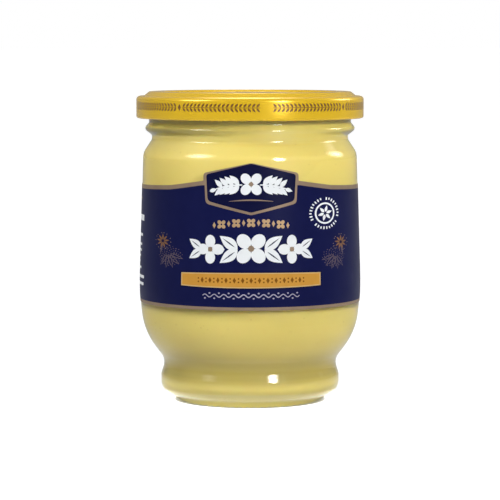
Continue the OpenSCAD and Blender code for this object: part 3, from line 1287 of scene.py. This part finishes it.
@dataclass
class WrapLabel:
    """The paper label, printed with plain ornaments, and its plaque."""

    thickness: float = 0.12 * MM
    glue: float = 0.03 * MM
    top_border: float = 1.25
    low_border: float = 0.95
    plaque_half: float = 13.8
    plaque_side: float = 2.2
    peak: float = 2.9
    edge_drop: float = 1.7
    edge_run: float = 10.2
    side_drop: float = 0.7
    seam: float = 5.0
    corner: float = 1.2
    field_half: float = 14.4
    field_low_half: float = 13.85
    field_low_side: float = 61.2
    field_point: float = 57.9
    spray_height: float = 66.7
    swash_height: float = 61.9
    row_height: float = 54.75
    row_pitch: float = 2.2
    garland_height: float = 47.9
    banner_height: float = 38.9
    banner_half: float = 21.5
    banner_bow: float = 0.35
    wave_height: float = 34.4
    wave_half: float = 14.5
    waves: int = 10
    emblem_place: Point = (24.1, 58.0)
    left_cluster: Point = (-27.7, 46.9)
    right_cluster: Point = (28.8, 46.5)
    panel_top: float = 58.4
    panel_low: float = 36.4
    table_rows: int = 9

    def __post_init__(self) -> None:
        """Takes the label's place from the frame."""
        low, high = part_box("label")
        self.low = low.z / MM
        self.top = high.z / MM
        self.reach = high.x / MM + 0.8
        self.side_top = self.top - self.peak
        self.edge = self.side_top - self.plaque_side
        self.back_edge = self.edge - self.edge_drop - self.side_drop

    def _arc(self, wrap: Wrap, x: float, y: float) -> Point:
        """Flat point of a place that the front view shows at x."""
        radius = float(np.interp(y * MM, wrap.heights, wrap.radii)) / MM
        return math.asin(max(-1.0, min(1.0, x / radius))) * wrap.unrolled / MM, y

    def _edge_height(self, x: float) -> float:
        """Height of the label's top edge at x in the front view.

        Args:
            x: Distance from the middle, as the front view shows it.

        Returns:
            The height, without the plaque.
        """
        bend = self.plaque_half + self.edge_run
        heights = (self.edge, self.edge - self.edge_drop, self.back_edge)
        return float(np.interp(abs(x), (self.plaque_half, bend, self.reach), heights))

    def _top_edge(self, wrap: Wrap, inset: float, end: float) -> Polygon:
        """The top edge without its plaque, from the right end to the left.

        Args:
            wrap: The jar's side.
            inset: How far the edge lies below the paper's own.
            end: Arc from the middle of the front to the label's end.

        Returns:
            The edge's points, with a gap where the plaque is.
        """
        radius = wrap.unrolled / MM
        right: Polygon = [(end, self.back_edge - inset)]
        for degrees in range(88, 22, -2):
            x = radius * math.sin(math.radians(degrees))
            if x > self.plaque_half:
                right.append((math.radians(degrees) * radius, self._edge_height(x) - inset))
        return right + [(-x, y) for x, y in reversed(right)]

    def _outline(self, wrap: Wrap, end: float) -> Polygon:
        """The whole outline, with the plaque's top.

        Args:
            wrap: The jar's side.
            end: Arc from the middle of the front to the label's end.

        Returns:
            The paper's outline.
        """
        edge = self._top_edge(wrap, 0.0, end)
        half = len(edge) // 2
        top = rounded([
            (self.plaque_half, self.edge, 0),
            (self.plaque_half, self.side_top, self.corner),
            (0, self.top + 0.25, 2 * self.corner),
            (-self.plaque_half, self.side_top, self.corner),
            (-self.plaque_half, self.edge, 0),
        ])
        plaque = [self._arc(wrap, x, min(y, self.top)) for x, y in top]
        return [(-end, self.low), (end, self.low), *edge[:half], *plaque, *edge[half:]]

    def _plaque(self, side: float, top: float, bottom: float, rounding: float) -> Polygon:
        """The plaque's six-sided field, inset at its sides, top and bottom.

        Args:
            side: Inset at the sides.
            top: Inset at the top.
            bottom: Inset at the bottom.
            rounding: Rounding of the upper side corners.

        Returns:
            The field's outline.
        """
        half = self.field_half - side
        low_half = self.field_low_half - side
        return rounded([
            (half, self.side_top - top - 0.2 * side, rounding),
            (0, self.top + 0.2 - top, 1.5),
            (-half, self.side_top - top - 0.2 * side, rounding),
            (-low_half, self.field_low_side + bottom, 1.6),
            (0, self.field_point + bottom, 2.2),
            (low_half, self.field_low_side + bottom, 1.6),
        ])

    def _front(self, design: Print) -> None:
        """The plaque, the floral band, the banner and the small ornaments of the front.

        Args:
            design: The print that the shapes are laid on.
        """
        design.lay(Ink.COPPER, self._plaque(0.0, 0.0, 0.0, 1.2))
        design.lay(Ink.DEEP, self._plaque(0.68, 0.25, 0.74, 0.9))
        self._plaque_spray(design)
        self._row(design)
        self._floral_band(design)
        self._banner(design)
        self._wave(design)

    def _row(self, design: Print) -> None:
        """The bowed row of small blossoms and lozenges under the plaque.

        Args:
            design: The print that the shapes are laid on.
        """
        for k in range(-5, 6):
            x = self.row_pitch * k
            y = self.row_height + 0.95 * (1 - (x / 12) ** 2)
            if k % 2:
                design.lay(Ink.ROW, lozenge(x, y, 1.0, 1.9))
            else:
                design.blossom(x, y, 1.5, Ink.ROW, Ink.NAVY)

    def _wave(self, design: Print) -> None:
        """The wavy line under the banner, with a dot in each of its hollows.

        Args:
            design: The print that the shapes are laid on.
        """
        y, half = self.wave_height, self.wave_half
        steps = 12 * self.waves
        wave = [
            (-half + 2 * half * k / steps, y + 0.42 * math.sin(TAU * k / 12)) for k in range(steps + 1)
        ]
        design.lay(Ink.LILAC, stroke(wave, 0.34, 0.7))
        dots = 2 * self.waves
        for k in range(dots):
            x = -half + 2 * half * (k + 0.5) / dots
            design.lay(Ink.LILAC, ellipse(x, y - 0.75 * (-1) ** k, 0.3, 0.24, 0, 8))

    def _plaque_spray(self, design: Print) -> None:
        """A flower between two leafy sprays that follow an arch.

        Args:
            design: The print that the shapes are laid on.
        """
        for side in (-1, 1):
            arch = [
                (side * (2.6 + 8.2 * k / 10), self.spray_height - 1.3 * (k / 10) ** 2) for k in range(11)
            ]
            design.lay(Ink.WHITE, stroke(arch, 0.55, 0.5))
            for k in range(4):
                x, y = arch[2 + 2 * k]
                size = 1 - 0.06 * k
                for up in (-1, 1):
                    turn = 42 * up if side > 0 else 180 - 42 * up
                    dx, dy = side * 0.75 * size, 1.5 * up * size
                    design.lay(Ink.WHITE, leaf(x + dx, y + dy, 3.9 * size, 1.75 * size, turn, 7))
            tip_height = self.spray_height - 1.6
            design.lay(Ink.WHITE, leaf(side * 11.4, tip_height, 2.4, 1.2, -18 * side, 6))
        design.blossom(0, self.spray_height + 0.2, 3.9, Ink.WHITE, Ink.COPPER)
        swash = [
            (-6.6 + 13.2 * k / 20, self.swash_height + 0.4 * math.sin(math.pi * k / 20)) for k in range(21)
        ]
        design.lay(Ink.COPPER, stroke(swash, 0.42, 0.2))

    def _floral_band(self, design: Print) -> None:
        """The big white band: flowers with leaves between, the same on both sides.

        Args:
            design: The print that the shapes are laid on.
        """
        y = self.garland_height
        design.blossom(0, y + 0.3, 5.3, Ink.WHITE, Ink.COPPER)
        for side in (-1, 1):
            for up in (-1, 1):
                tilt = 36 * up if side > 0 else 180 - 36 * up
                design.veined_leaf(side * 6.6, y + 2.0 * up, 6.6, 3.3, tilt, Ink.WHITE, Ink.NAVY)
            design.lay(Ink.WHITE, lozenge(side * 8.4, y, 1.3, 1.7))
            design.blossom(side * 12.2, y, 4.2, Ink.WHITE, Ink.COPPER, 0.0)
            for up in (-1, 1):
                tilt = 33 * up if side > 0 else 180 - 33 * up
                design.veined_leaf(side * 17.0, y + 1.5 * up, 4.9, 2.5, tilt, Ink.WHITE, Ink.NAVY)

    def _banner(self, design: Print) -> None:
        """The golden banner with a close row of dark lozenges and pairs of dots.

        Args:
            design: The print that the shapes are laid on.
        """
        y, half, bow = self.banner_height, self.banner_half, self.banner_bow
        design.lay(Ink.DEEP, bowed(half + 0.8, y - 2.35, y + 2.35, bow))
        design.lay(Ink.PALE_GOLD, bowed(half + 0.35, y - 1.9, y + 1.9, bow))
        design.lay(Ink.GOLD, bowed(half, y - 1.6, y + 1.6, bow))
        for k in range(-13, 14):
            x = 1.22 * k
            if k % 2:
                for up in (-1, 1):
                    design.lay(Ink.BROWN, ellipse(x, y + 0.5 * up, 0.27, 0.27, 0, 8))
            else:
                design.lay(Ink.BROWN, lozenge(x, y, 1.0, 1.8))

    @staticmethod
    def _emblem(design: Print, x: float, y: float) -> None:
        """A ring with a small flower in it and short dashes round it.

        Args:
            design: The print that the shapes are laid on.
            x: Place of the middle.
            y: The same, upwards.
        """
        emblem = Print()
        emblem.ring(x, y, 3.15, 0.5, Ink.WHITE, Ink.NAVY)
        emblem.rosette(x, y, 2.3, 6, Ink.WHITE, Ink.NAVY)
        for k in range(30):
            angle = 12 * k
            if angle % 120 == 96:
                continue
            c, s = math.cos(math.radians(angle)), math.sin(math.radians(angle))
            dash = box(-0.4 if k % 3 else -0.25, -0.2, 0.4, 0.2)
            emblem.lay(Ink.WHITE, moved(dash, x + 4.3 * c, y + 4.3 * s, angle))
        design.spread(emblem, x, 1.28)

    @staticmethod
    def _seed_cluster(design: Print, x: float, y: float, side: int, seed: int) -> None:
        """A flower over seed pods and a heap of loose seed, in fine copper print.

        Args:
            design: The print that the shapes are laid on.
            x: Place of the cluster.
            y: The same, upwards.
            side: 1 if its pods lean to the right, -1 if to the left.
            seed: Start of its random sizes.
        """
        draw = random.Random(seed)
        cluster = Print()
        for k in range(5):
            turn = -90 + side * (26 * k - 34)
            c, s = math.cos(math.radians(turn)), math.sin(math.radians(turn))
            px, py = x + side * 0.3 + 2.5 * c, y - 0.6 + 2.7 * s
            cluster.lay(Ink.DIM, leaf(px, py, 3.9, 1.0, turn, 7))
            cluster.lay(Ink.NAVY, leaf(px, py, 3.3, 0.55, turn, 6))
        for k in range(78):
            angle, reach = 137.5 * k, 0.4 * math.sqrt(k + 0.7)
            px = x + side * 0.75 + reach * math.cos(math.radians(angle))
            py = y - 1.5 + 0.86 * reach * math.sin(math.radians(angle))
            size = draw.uniform(0.11, 0.21)
            cluster.lay(Ink.DIM, ellipse(px, py, size, size, 0, 7))
        for k in range(3):
            stem = [(x - side * (1.4 + 0.28 * t), y + 1.6 - 0.9 * t + 0.6 * k) for t in range(4)]
            cluster.lay(Ink.DIM, stroke(stem, 0.22, 0.5))
        cluster.rosette(x - side * 1.5, y + 2.7, 2.1, 9, Ink.BLOSSOM, Ink.DEEP)
        for k in range(14):
            angle = math.radians(360 * k / 14 + draw.uniform(-8, 8))
            fx, fy = x - side * 1.5 + 2.5 * math.cos(angle), y + 2.7 + 2.4 * math.sin(angle)
            cluster.lay(Ink.COPPER, ellipse(fx, fy, 0.13, 0.13, 0, 6))
        design.spread(cluster, x, 1.45)

    @staticmethod
    def _lines(design: Print, left: float, right: float, top: float, rows: int, seed: int) -> None:
        """Rows of plain bars, as closely set as small print.

        Args:
            design: The print that the shapes are laid on.
            left: Where the rows start.
            right: Where they stop.
            top: Height of the first row.
            rows: Number of rows.
            seed: Start of the bars' random lengths.
        """
        draw = random.Random(seed)
        for row in range(rows):
            y, x = top - 1.75 * row, left
            stop = right - draw.uniform(0, 6) * (row % 4 == 3)
            while x < stop - 1.2:
                length = min(draw.uniform(1.2, 4.6), stop - x)
                design.lay(Ink.WHITE, box(x, y - 0.36, x + length, y + 0.36))
                x += length + 0.75

    def _back(self, design: Print) -> None:
        """The side and back panels: headings, rows of bars and a ruled table.

        Args:
            design: The print that the shapes are laid on.
        """
        for left, right in ((-94.0, -46.5), (52.0, 94.0)):
            design.lay(Ink.COPPER, box(left, 61.2, right, 61.6))
        design.lay(Ink.WHITE, box(-57.5, 54.7, -43.2, 56.5), box(-52.5, 50.0, -44.6, 50.9))
        design.lay(Ink.WHITE, box(-51.5, 37.5, -41.9, 38.4), box(-51.5, 35.4, -42.5, 36.3))
        self._lines(design, -93.0, -59.5, 58.6, 13, 3)
        self._lines(design, -57.5, -45.5, 47.6, 5, 5)
        top, low, rule = self.panel_top, self.panel_low, 0.4
        pitch = (top - low) / self.table_rows
        design.lay(Ink.WHITE, box(54.4 - rule, low - rule, 72.6 + rule, top + rule))
        design.lay(Ink.NAVY, box(54.4, low, 72.6, top))
        for row in range(1, self.table_rows):
            y = top - pitch * row
            design.lay(Ink.WHITE, box(54.6, y - 0.1, 72.4, y + 0.1))
        for row in range(self.table_rows):
            y = top - pitch * (row + 0.5)
            design.lay(Ink.LILAC, box(55.4, y - 0.35, 62.0 + 2.2 * (row * 5 % 3), y + 0.35))
            design.lay(Ink.LILAC, box(68.6, y - 0.35, 71.6, y + 0.35))
        self._lines(design, 76.0, 93.0, top, 8, 9)
        design.lay(Ink.PALE_GOLD, box(76.4 - rule, low - rule, 92.6 + rule, 42.1 + rule))
        design.lay(Ink.WHITE, box(76.4, low, 92.6, 42.1))
        design.blossom(84.5, 39.25, 2.3, Ink.COPPER, Ink.WHITE)

    def build(self, effects: Effects, jar: GlassJar) -> bpy.types.Object:
        """The label piece, wrapped on the jar's side.

        Args:
            effects: The shared node groups.
            jar: The jar that the label is wrapped on.

        Returns:
            The new piece.
        """
        heights, radii = jar.side((self.low - 3) * MM, (self.top + 3) * MM)
        wrap = Wrap(heights, radii, float(np.interp(self.low * MM + 0.01, heights, radii)))
        radius = wrap.unrolled / MM
        end = radius * (math.pi - math.asin(self.seam / 2 / radius))
        design = Print()
        field_edge = self._top_edge(wrap, self.top_border, end)
        field_low = self.low + self.low_border
        design.lay(Ink.NAVY, [(-end, field_low), (end, field_low), *field_edge])
        self._front(design)
        self._emblem(design, *self.emblem_place)
        self._seed_cluster(design, *self.left_cluster, 1, 11)
        self._seed_cluster(design, *self.right_cluster, -1, 12)
        self._back(design)
        sheet = FlatSheet(self._outline(wrap, end), Ink.COPPER, design, pitch=1.5)
        return self._roll(effects, wrap, *sheet.triangles())

    def _roll(
        self,
        effects: Effects,
        wrap: Wrap,
        flat: np.ndarray,
        faces: list[tuple[int, ...]],
        inks: list[Ink],
    ) -> bpy.types.Object:
        """Rolls the cut sheet round the jar and closes it with a back and an edge.

        Args:
            effects: The shared node groups.
            wrap: The jar's side.
            flat: The sheet's points.
            faces: The sheet's faces.
            inks: Ink of each face.

        Returns:
            The new piece.
        """
        front, normals = wrap.at(flat, self.glue + self.thickness)
        back, _ = wrap.at(flat, self.glue)
        count = len(flat)
        ways = {(face[k], face[(k + 1) % 3]) for face in faces for k in range(3)}
        edge = [(b, a, a + count, b + count) for a, b in ways if (b, a) not in ways]
        edge.sort()
        reverse = [tuple(v + count for v in reversed(face)) for face in faces]
        order = list(Ink)
        number = {ink: k for k, ink in enumerate(order)}
        slots = [number[ink] for ink in inks] + [number[Ink.PAPER]] * (len(faces) + len(edge))
        points = np.vstack([front, back])
        materials = [ink.value.material(effects) for ink in order]
        piece = new_piece("wrap_label", points, [*faces, *reverse, *edge], materials, slots)
        mesh = piece.data
        loops: list[tuple[float, ...]] = []
        for polygon in mesh.polygons:
            for vertex in polygon.vertices:
                if polygon.index < len(faces):
                    loops.append(tuple(normals[vertex]))
                elif polygon.index < 2 * len(faces):
                    loops.append(tuple(-normals[vertex - count]))
                else:
                    loops.append(tuple(polygon.normal))
        mesh.normals_split_custom_set(loops)
        return dressed(piece, "label")


def weld(piece: bpy.types.Object, distance: float) -> None:
    """Joins vertices of a piece that lie on each other.

    Args:
        piece: The piece.
        distance: Vertices closer than this are joined.
    """
    work = bmesh.new()
    work.from_mesh(piece.data)
    bmesh.ops.remove_doubles(work, verts=work.verts, dist=distance)
    work.to_mesh(piece.data)
    work.free()
    piece.data.update()


def dressed(piece: bpy.types.Object, node: str) -> bpy.types.Object:
    """Lets a piece stand for a CAD node and ride on the body.

    Args:
        piece: The new piece.
        node: The CAD node that it stands for.

    Returns:
        The same piece.
    """
    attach(piece, BODY)
    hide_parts(node)
    mesh = piece.data
    log.info("%s: %d vertices, %d faces", piece.name, len(mesh.vertices), len(mesh.polygons))
    return piece


# ---- Studio -----------------------------------------------------------------


@dataclass(frozen=True)
class Softbox:
    """A rectangular studio light that faces the jar, brightest in the middle of its cloth."""

    name: str
    azimuth: float
    elevation: float
    distance: float
    width: float
    height: float
    power: float
    colour: Colour = (1.0, 1.0, 1.0)
    MIDDLE: ClassVar[float] = 4.2

    def hang(self, target: Vector) -> None:
        """Hangs the light round a target point.

        Args:
            target: The point that the light faces.
        """
        a, e = math.radians(self.azimuth), math.radians(self.elevation)
        away = Vector((math.sin(a) * math.cos(e), -math.cos(a) * math.cos(e), math.sin(e)))
        data = bpy.data.lights.new(self.name, "AREA")
        data.shape = "RECTANGLE"
        data.size, data.size_y = self.width, self.height
        data.energy = self.power
        data.color = self.colour
        data.use_nodes = True
        board = Board(data.node_tree)
        cloth = board.add("NewGeometry")
        off = board.add("VectorMath", operation="DISTANCE")
        board.feed(off.inputs[0], cloth.outputs["Parametric"])
        off.inputs[1].default_value = (0.5, 0.5, 0.0)
        fall = board.add("MapRange", interpolation_type="SMOOTHSTEP", Value=off.outputs["Value"])
        fall.inputs["From Min"].default_value = 0.5
        fall.inputs["From Max"].default_value = 0.0
        fall.inputs["To Min"].default_value = 0.0
        fall.inputs["To Max"].default_value = self.MIDDLE
        glow = board.add("Emission", Strength=fall.outputs["Result"])
        board.add("OutputLight", Surface=glow.outputs["Emission"])
        light = bpy.data.objects.new(self.name, data)
        light.location = target + away * self.distance
        light.visible_camera = False
        light.rotation_euler = away.to_track_quat("Z", "Y").to_euler()
        bpy.context.scene.collection.objects.link(light)


@dataclass
class Studio:
    """Pale floor, soft light and the camera.

    The glows are emission strengths. Each span holds the distances from the jar's
    axis, in metres, between which one of them rises or fades.
    """

    lens: float = 190.8
    distance: float = 0.80
    eye_height: float = 0.1086
    pitch: float = 4.53
    floor_size: float = 60.0
    azimuth: float = -0.57
    floor_glow: float = 0.85
    near_glow: float = 0.70
    mirror_glow: float = 0.55
    base_glow: float = 1.7
    white_run: Span = (0.05, 1.2)
    contact_edge: Span = (0.0210, 0.0240)
    mirror_inner: Span = (0.024, 0.030)
    mirror_outer: Span = (0.040, 0.10)
    hollow_edge: Span = (0.0165, 0.0190)
    heel_inner: Span = (0.0225, 0.0240)
    heel_outer: Span = (0.0270, 0.0310)
    lights: tuple[Softbox, ...] = (
        Softbox("key_box", 30, 18, 0.42, 0.13, 0.20, 0.78),
        Softbox("right_box", 110, 24, 0.60, 0.34, 0.36, 0.85),
        Softbox("left_box", -60, 32, 0.60, 0.42, 0.38, 1.40),
        Softbox("back_box", 180, 58, 1.6, 1.00, 1.00, 6.0),
    )

    def floor(self) -> None:
        """A wide matt floor, which looks white where it is seen directly, and glows at the base."""
        half, cells = self.floor_size / 2, 24
        steps = [half * (2 * k / cells - 1) * abs(2 * k / cells - 1) for k in range(cells + 1)]
        points = np.array([(x, y, 0.0) for y in steps for x in steps])
        row = cells + 1
        faces = [
            (j * row + i, j * row + i + 1, (j + 1) * row + i + 1, (j + 1) * row + i)
            for j in range(cells)
            for i in range(cells)
        ]
        material, board, shader, _ = new_material("studio_floor")
        shader.inputs["Base Color"].default_value = (0.45, 0.45, 0.445, 1.0)
        shader.inputs["Roughness"].default_value = 0.7
        shader.inputs["Specular IOR Level"].default_value = 0.1
        shader.inputs["Emission Color"].default_value = (1.0, 1.0, 1.0, 1.0)
        path = board.add("LightPath")
        place = board.add("TexCoord")
        away = board.add("VectorMath", operation="LENGTH")
        board.feed(away.inputs[0], place.outputs["Object"])

        def ramp(start: float, stop: float, low: float, high: float) -> bpy.types.NodeSocket:
            """A value that changes with the distance from the middle.

            Args:
                start: Distance at which the change starts.
                stop: Distance at which it ends.
                low: Value up to the start.
                high: Value from the stop on.

            Returns:
                The socket with the value.
            """
            node = board.add("MapRange", Value=away.outputs["Value"], From_Min=start, From_Max=stop)
            board.feed(node.inputs["To Min"], low)
            board.feed(node.inputs["To Max"], high)
            return node.outputs["Result"]

        def product(*values: bpy.types.NodeSocket) -> bpy.types.NodeSocket:
            """The values multiplied with each other.

            Args:
                *values: Sockets with the values.

            Returns:
                The socket with the product.
            """
            whole = values[0]
            for value in values[1:]:
                node = board.add("Math", operation="MULTIPLY")
                board.feed(node.inputs[0], whole)
                board.feed(node.inputs[1], value)
                whole = node.outputs[0]
            return whole

        seen = product(
            path.outputs["Is Camera Ray"],
            ramp(*self.white_run, self.near_glow, self.floor_glow),
            ramp(*self.contact_edge, 0.0, 1.0),
        )
        clear = board.add("MapRange", Value=path.outputs["Diffuse Depth"], From_Min=0.0, From_Max=1.0)
        board.feed(clear.inputs["To Min"], 1.0)
        board.feed(clear.inputs["To Max"], 0.0)
        other = board.add("MapRange", Value=path.outputs["Is Camera Ray"], To_Min=1.0, To_Max=0.0)
        mirrored = product(
            clear.outputs["Result"],
            other.outputs["Result"],
            ramp(*self.mirror_inner, 0.0, self.mirror_glow),
            ramp(*self.mirror_outer, 1.0, 0.25),
        )
        glow = board.add("Math", operation="ADD")
        board.feed(glow.inputs[0], seen)
        board.feed(glow.inputs[1], mirrored)
        hollow = ramp(*self.hollow_edge, self.base_glow, 0.0)
        heel = product(ramp(*self.heel_inner, 0.0, self.base_glow), ramp(*self.heel_outer, 1.0, 0.0))
        for light in (hollow, heel):
            total = board.add("Math", operation="ADD")
            board.feed(total.inputs[0], glow.outputs[0])
            board.feed(total.inputs[1], light)
            glow = total
        board.feed(shader.inputs["Emission Strength"], glow.outputs[0])
        material.cycles.emission_sampling = "NONE"
        new_piece("studio_floor", points, faces, [material])

    def sky(self) -> None:
        """White where it is seen directly. Its light is soft, and weakest near the horizon."""
        world = bpy.data.worlds.new("studio")
        world.use_nodes = True
        board = Board(world.node_tree)
        place = board.add("TexCoord")
        parts = board.add("SeparateXYZ", Vector=place.outputs["Generated"])
        rise = board.add(
            "MapRange", Value=parts.outputs["Z"], From_Min=0.08, From_Max=0.6, To_Min=0.32, To_Max=0.38
        )
        soft = board.add("Background", Color=(1.0, 1.0, 1.0), Strength=rise.outputs["Result"])
        white = board.add("Background", Color=(1.0, 1.0, 1.0), Strength=1.0)
        seen = board.add("LightPath")
        mix = board.add("MixShader")
        board.feed(mix.inputs[0], seen.outputs["Is Camera Ray"])
        board.feed(mix.inputs[1], soft.outputs["Background"])
        board.feed(mix.inputs[2], white.outputs["Background"])
        board.add("OutputWorld", Surface=mix.outputs[0])
        bpy.context.scene.world = world

    def camera(self) -> None:
        """A long lens a little above the lid, pitched slightly down."""
        data = bpy.data.cameras.new("camera")
        data.sensor_width = 36.0
        data.lens = self.lens
        data.clip_start, data.clip_end = 0.05, 80.0
        camera = bpy.data.objects.new("camera", data)
        turn = math.radians(self.azimuth)
        side, back = self.distance * math.sin(turn), self.distance * math.cos(turn)
        camera.location = (side, -back, self.eye_height)
        camera.rotation_euler = (math.radians(90 - self.pitch), 0.0, turn)
        bpy.context.scene.collection.objects.link(camera)
        bpy.context.scene.camera = camera

    def build(self) -> None:
        """Sets the whole studio up."""
        self.floor()
        self.sky()
        self.camera()
        target = (CAD_BOX[0] + CAD_BOX[1]) / 2
        for light in self.lights:
            light.hang(target)
        bpy.context.scene.view_settings.view_transform = "Standard"


def main() -> None:
    """Builds the jar piece by piece, and the studio round it."""
    logging.basicConfig(level=logging.INFO, format="%(name)s: %(message)s")
    Studio().build()
    effects = Effects()
    jar = GlassJar()
    jar.build(effects)
    Filling().build(effects)
    TwistOffLid().build(effects)
    WrapLabel().build(effects, jar)


if __name__ == "__main__":
    main()
